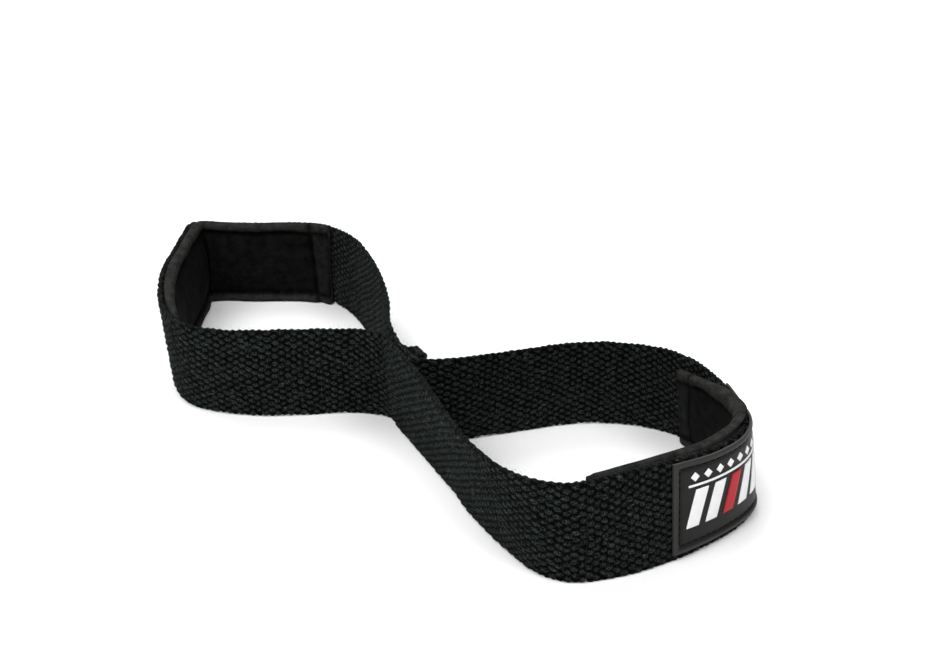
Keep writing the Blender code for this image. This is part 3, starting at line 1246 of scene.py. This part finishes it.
@dataclass(frozen=True)
class Patch:
    """The moulded rubber patch, with a plain raised design of bars, a line and lozenges."""

    strand: Strand
    start: float = PATCH[0]
    end: float = PATCH[1]
    foot: float = 0.003
    height: float = 0.034
    thickness: float = 0.0011
    rim: float = 0.0018
    groove_at: float = 0.0009      # inwards from the rim
    groove_depth: float = 0.0005
    field_drop: float = 0.00035
    cell: float = 0.0005
    raise_by: float = 0.0005
    bar_pitch: float = 0.0084
    bar_width: float = 0.0052
    bar_foot: float = 0.0088
    bar_height: float = 0.0138
    lean: float = 0.28             # how far a bar leans for each metre of height
    line: tuple[float, float] = (0.064, 0.0007)     # its length and width
    line_gap: float = 0.0018       # from the bars' tops to the line's middle
    lozenge: float = 0.0024
    lozenge_pitch: float = 0.0054
    lozenge_gap: float = 0.0050    # from the bars' tops to the lozenges' middle

    def from_edge(self, along: Array, high: Array) -> Array:
        """The distance inwards from the patch's outline."""
        return np.minimum(np.minimum(along - self.start, self.end - along),
                          np.minimum(high - self.foot, self.foot + self.height - high))

    def elevation(self, from_edge: Array) -> Array:
        """The relief of the patch's face.

        Args:
            from_edge: distances inwards from the outline.

        Returns:
            The face's height over the patch's back.
        """
        level = self.thickness - self.field_drop * np.clip((from_edge - self.rim) / 0.0004, 0, 1)
        level -= self.groove_depth * bump_at(from_edge - self.rim - self.groove_at, 0.00055)
        return level - 0.00035 * bump_at(from_edge, 0.0004)

    def lay(self, name: str, data: Mesh, finish: Material, sharp: float) -> None:
        """Bends a flat mesh round the loop and makes it a piece.

        Args:
            name: the piece's name.
            data: the mesh.
            finish: its material.
            sharp: the angle in degrees above which an edge isn't shaded smooth.
        """
        self.strand.bend_mesh(data)
        data.shade_smooth()
        data.set_sharp_from_angle(angle=radians(sharp))
        attach(object_of(name, data, finish), "label_patch")

    def body(self, finish: Material) -> None:
        """The black patch itself: a sheet drawn up into a slab, with its face pressed into shape.

        Args:
            finish: the black rubber.
        """
        shape = bmesh.new()
        length = self.end - self.start
        bmesh.ops.create_grid(shape, x_segments=round(length / self.cell),
                              y_segments=round(self.height / self.cell), size=0.5)
        drawn = bmesh.ops.extrude_face_region(shape, geom=shape.faces[:], use_keep_orig=True)
        top = {item for item in drawn["geom"] if isinstance(item, BMVert)}
        for vertex in shape.verts:
            along = self.start + (vertex.co.x + 0.5) * length
            high = self.foot + (vertex.co.y + 0.5) * self.height
            vertex.co = (along, 1.0 if vertex in top else 0.0, high)
        bmesh.ops.recalc_face_normals(shape, faces=shape.faces)
        data = mesh_from(shape, "patch_body")
        flat = points_of(data)
        from_edge = self.from_edge(flat[:, 0], flat[:, 2])
        flat[:, 1] = PIECE_BACK + flat[:, 1] * self.elevation(from_edge)
        # rim mask for the rubber's lighter rim colour, which is wear and a painted highlight
        set_attribute(data, "rim", np.clip((self.rim - from_edge) / 0.0005, 0, 1))
        set_points(data, flat)
        self.lay("patch_body", data, finish, 50)

    def motif(self, shape: BMesh, middle: tuple[float, float], size: tuple[float, float],
              turn: float = 0.0, lean: float = 0.0) -> None:
        """Adds one raised flat form to a mesh in (across the patch, height, rise).

        Args:
            shape: the mesh that it is added to.
            middle: its place, from the patch's left and bottom edge as seen.
            size: its width and height.
            turn: how far it is turned, in radians.
            lean: how far it leans, as a share of its height.
        """
        cells = (max(1, round(size[0] / 0.001)), max(1, round(size[1] / 0.002)))
        leaning = Matrix(((1, lean, 0, 0), (0, 1, 0, 0), (0, 0, 1, 0), (0, 0, 0, 1)))
        matrix = (Matrix.Translation((*middle, 0.0)) @ Matrix.Rotation(turn, 4, "Z") @ leaning
                  @ Matrix.Diagonal((size[0], size[1], 1, 1)))
        made = bmesh.ops.create_grid(shape, x_segments=cells[0], y_segments=cells[1], size=0.5,
                                     matrix=matrix)
        faces = list({face for vertex in made["verts"] for face in vertex.link_faces})
        drawn = bmesh.ops.extrude_face_region(shape, geom=faces, use_keep_orig=True)["geom"]
        top = [item for item in drawn if isinstance(item, BMVert)]
        bmesh.ops.translate(shape, vec=(0.0, 0.0, self.raise_by), verts=top)
        rim = [edge for edge in drawn if isinstance(edge, BMEdge)
               and sum(face in drawn for face in edge.link_faces) == 1]
        bmesh.ops.bevel(shape, geom=rim, offset=0.00018, offset_type="OFFSET", segments=2,
                        profile=0.5, affect="EDGES", material=-1)

    def printed(self, name: str, shape: BMesh, finish: Material) -> None:
        """Lays raised forms on the patch's face.

        Args:
            name: the piece's name.
            shape: the forms, which this frees.
            finish: their material.
        """
        bmesh.ops.recalc_face_normals(shape, faces=shape.faces)
        data = mesh_from(shape, name)
        across, high, rise = points_of(data).T
        base = PIECE_BACK + self.thickness - self.field_drop - 0.0001
        set_points(data, np.column_stack([self.end - across, base + rise, self.foot + high]))
        self.lay(name, data, finish, 40)

    def design(self, white: Material, red: Material) -> None:
        """The raised design: eight bars, of which the third is red, a line and twelve lozenges.

        Args:
            white: material of most forms.
            red: material of the accent.
        """
        pale, accent = bmesh.new(), bmesh.new()
        top = self.bar_foot + self.bar_height
        middle = self.bar_foot + self.bar_height / 2
        for number in range(8):
            shape = accent if number == 2 else pale
            place = (0.0098 + number * self.bar_pitch, middle)
            self.motif(shape, place, (self.bar_width, self.bar_height), lean=self.lean)
        self.motif(pale, (0.038, top + self.line_gap), self.line)
        for number in range(12):
            place = (0.0085 + number * self.lozenge_pitch, top + self.lozenge_gap)
            self.motif(pale, place, (self.lozenge, self.lozenge), turn=pi / 4)
        self.printed("patch_design_white", pale, white)
        self.printed("patch_design_red", accent, red)


# Stitching

@dataclass(frozen=True)
class Seam:
    """A straight run of stitches on a flat piece, from one place to another."""

    start: tuple[float, float]     # length along the webbing, height
    end: tuple[float, float]
    out: float                     # distance out of the loop


@dataclass(frozen=True)
class Stitching:
    """Lockstitches, each a small straight thread capsule."""

    name: str
    slot: str
    node: str
    strand: Strand
    seams: tuple[Seam, ...]
    pitch: float = 0.0032
    length: float = 0.0025
    radius: float = 0.00027

    def build(self, finish: Material) -> None:
        """Builds all stitches as one piece.

        Args:
            finish: the thread's material.
        """
        shape = bmesh.new()
        dice = np.random.default_rng(31)
        for seam in self.seams:
            first = Vector((seam.start[0], seam.out, seam.start[1]))
            run = Vector((seam.end[0], seam.out, seam.end[1])) - first
            count = max(1, round(run.length / self.pitch))
            turn = run.to_track_quat("X", "Z").to_matrix().to_4x4()
            for number in range(count):
                middle = first + run * ((number + 0.5) / count)
                slip = Matrix.Rotation(dice.normal(0, 0.05), 4, "Y")
                matrix = (Matrix.Translation(middle) @ turn @ slip
                          @ Matrix.Diagonal((self.length / 2, self.radius, self.radius, 1)))
                bmesh.ops.create_uvsphere(shape, u_segments=6, v_segments=5, radius=1.0,
                                          matrix=matrix @ Matrix.Rotation(pi / 2, 4, "Y"))
        bmesh.ops.recalc_face_normals(shape, faces=shape.faces)
        data = mesh_from(shape, self.name)
        self.strand.bend_mesh(data)
        data.shade_smooth()
        attach(object_of(self.name, data, finish), self.node)


def pad_seams(pad: WristPad) -> tuple[Seam, ...]:
    """The stitches on a pad: in the groove along the bottom of its rim, and down both sewn ends.

    Args:
        pad: the pad.

    Returns:
        Its runs of stitches.
    """
    low, high = pad.rim, pad.width - pad.rim
    groove = -PIECE_BACK - (pad.thickness - pad.groove_depth) - 0.0001
    strip = -PIECE_BACK - pad.strip_thickness + 0.0007
    seams = [Seam((pad.start + pad.first.strip, low), (pad.end - pad.last.strip, low), groove)]
    for at, end, way in ((pad.start, pad.first, 1), (pad.end, pad.last, -1)):
        if end.drop == 0.0:
            seams.append(Seam((at + way * (end.strip - end.skew), low),
                              (at + way * (end.strip + end.skew), high), strip))
        seams.append(Seam((at - way * 0.0007, 0.002), (at - way * 0.0007, WEBBING_WIDTH - 0.002),
                          -WEBBING_HALF - 0.00015))
    return tuple(seams)


def patch_seams(patch: Patch) -> tuple[Seam, ...]:
    """The stitches in the groove inside the patch's rim.

    Args:
        patch: the patch.

    Returns:
        Its four runs of stitches.
    """
    inset = patch.rim + patch.groove_at
    left, right = patch.start + inset, patch.end - inset
    low, high = patch.foot + inset, patch.foot + patch.height - inset
    out = PIECE_BACK + patch.thickness - patch.field_drop - 0.0004
    return (Seam((left, low), (right, low), out), Seam((left, high), (right, high), out),
            Seam((left, low), (left, high), out), Seam((right, low), (right, high), out))


def webbing_seams(webbing: Webbing) -> tuple[Seam, ...]:
    """The stitches that show on the webbing's outer face, where the pads' ends are."""
    out = WEBBING_HALF - 0.00005
    return tuple(Seam((crease, 0.0015), (crease, WEBBING_WIDTH - 0.0015), out)
                 for crease in webbing.creases)


# Studio

class Softbox(NamedTuple):
    """A rectangular lamp that faces the middle of the floor."""

    name: str
    place: tuple[float, float, float]
    size: tuple[float, float]
    watts: float

    def hang(self) -> None:
        """Adds the lamp to the scene."""
        lamp = bpy.data.lights.new(self.name, "AREA")
        lamp.shape = "RECTANGLE"
        lamp.size, lamp.size_y = self.size
        lamp.energy = self.watts
        holder = bpy.data.objects.new(self.name, lamp)
        holder.location = self.place
        holder.rotation_euler = (-Vector(self.place)).to_track_quat("-Z", "Y").to_euler()
        bpy.context.scene.collection.objects.link(holder)


@dataclass(frozen=True)
class Studio:
    """White paper floor, four softboxes round the strap and the camera."""

    softboxes: tuple[Softbox, ...] = (Softbox("front", (0.1, -1.2, 1.4), (1.6, 1.0), 34.0),
                                      Softbox("left", (-1.1, 0.1, 1.5), (1.0, 1.4), 21.0),
                                      Softbox("right", (1.1, 0.1, 1.5), (1.0, 1.0), 17.0),
                                      Softbox("rear", (-0.9, 1.1, 1.3), (1.2, 1.0), 14.0))
    camera_at: tuple[float, float, float] = (0.40583, -0.39700, 0.300)
    camera_turn: tuple[float, float, float] = (65.0, 0.0, 42.92)
    lens: float = 61.02
    floor_radius: float = 1.05     # past it the backdrop is as white as the lit paper
    daylight: float = 0.06

    def build(self) -> None:
        """Builds floor, lights, world and camera."""
        scene = bpy.context.scene
        shape = bmesh.new()
        bmesh.ops.create_circle(shape, cap_ends=True, segments=96, radius=self.floor_radius)
        data = mesh_from(shape, "paper_floor")
        data.transform(Matrix.Translation((0.0, 0.0, -0.0001)))
        object_of("paper_floor", data, PaperFloor().material())

        for softbox in self.softboxes:
            softbox.hang()

        world = bpy.data.worlds.new("studio")
        world.use_nodes = True
        seen = add_node(world, "ShaderNodeLightPath").outputs["Is Camera Ray"]
        strength = add_node(world, "ShaderNodeMapRange", None, {"Value": seen, 3: self.daylight, 4: 1.0})
        feed(world, world.node_tree.nodes["Background"],
             {"Color": (1.0, 1.0, 1.0, 1.0), "Strength": strength.outputs[0]})
        scene.world = world

        lens = bpy.data.cameras.new("camera")
        lens.lens = self.lens
        lens.sensor_width = 36.0
        lens.clip_start, lens.clip_end = 0.01, 20.0
        camera = bpy.data.objects.new("camera", lens)
        camera.location = self.camera_at
        camera.rotation_euler = [radians(turn) for turn in self.camera_turn]
        scene.collection.objects.link(camera)
        scene.camera = camera
        scene.view_settings.view_transform = "Standard"


def main() -> None:
    """Builds the strap's pieces, then the studio."""
    logging.basicConfig(level=logging.INFO, format="%(message)s", stream=sys.stdout)
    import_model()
    strand = Strand(Route(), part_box("webbing_strap"))
    LOG.info("strand: %.4f m", strand.whole)

    cotton = CottonWebbing().material()
    jersey = JerseyFacing().material()
    rubber = MouldedRubber("black_moulded_rubber", "#171716", "#2e2e2d").material()
    white = MouldedRubber("white_moulded_rubber", "#e9e9ea", "#e9e9ea", roughness=0.45).material()
    red = MouldedRubber("red_moulded_rubber", "#a91f27", "#a91f27", roughness=0.45).material()
    thread = SewingThread().material()

    webbing = Webbing(strand)
    webbing.build(cotton)
    Fuzz(strand).build(cotton)
    left_pad = WristPad("wrist_pad_left", strand, *LEFT_PAD, creases=(0.578,),
                        first=PadEnd(strip=0.003, drop=0.0012, thinned=0.6, run=0.03),
                        last=PadEnd(skew=0.002))
    right_pad = WristPad("wrist_pad_right", strand, *RIGHT_PAD, creases=(0.166,),
                         pinches=(Pinch(0.165, run=0.018),),
                         first=PadEnd(strip=0.0085, drop=0.0062, run=0.04),
                         last=PadEnd(strip=0.002, drop=0.0012, thinned=0.62, run=0.07))
    for pad in (left_pad, right_pad):
        pad.build(jersey)
        Stitching(f"stitches_{pad.name}", "pad", pad.name, strand, pad_seams(pad)).build(thread)
    patch = Patch(strand)
    patch.body(rubber)
    patch.design(white, red)
    Stitching("stitches_patch", "patch", "label_patch", strand, patch_seams(patch),
              pitch=0.0030, length=0.0023, radius=0.0003).build(thread)
    Stitching("stitches_webbing", "webbing", "webbing_strap", strand, webbing_seams(webbing)).build(thread)
    Studio().build()


if __name__ == "__main__":
    main()
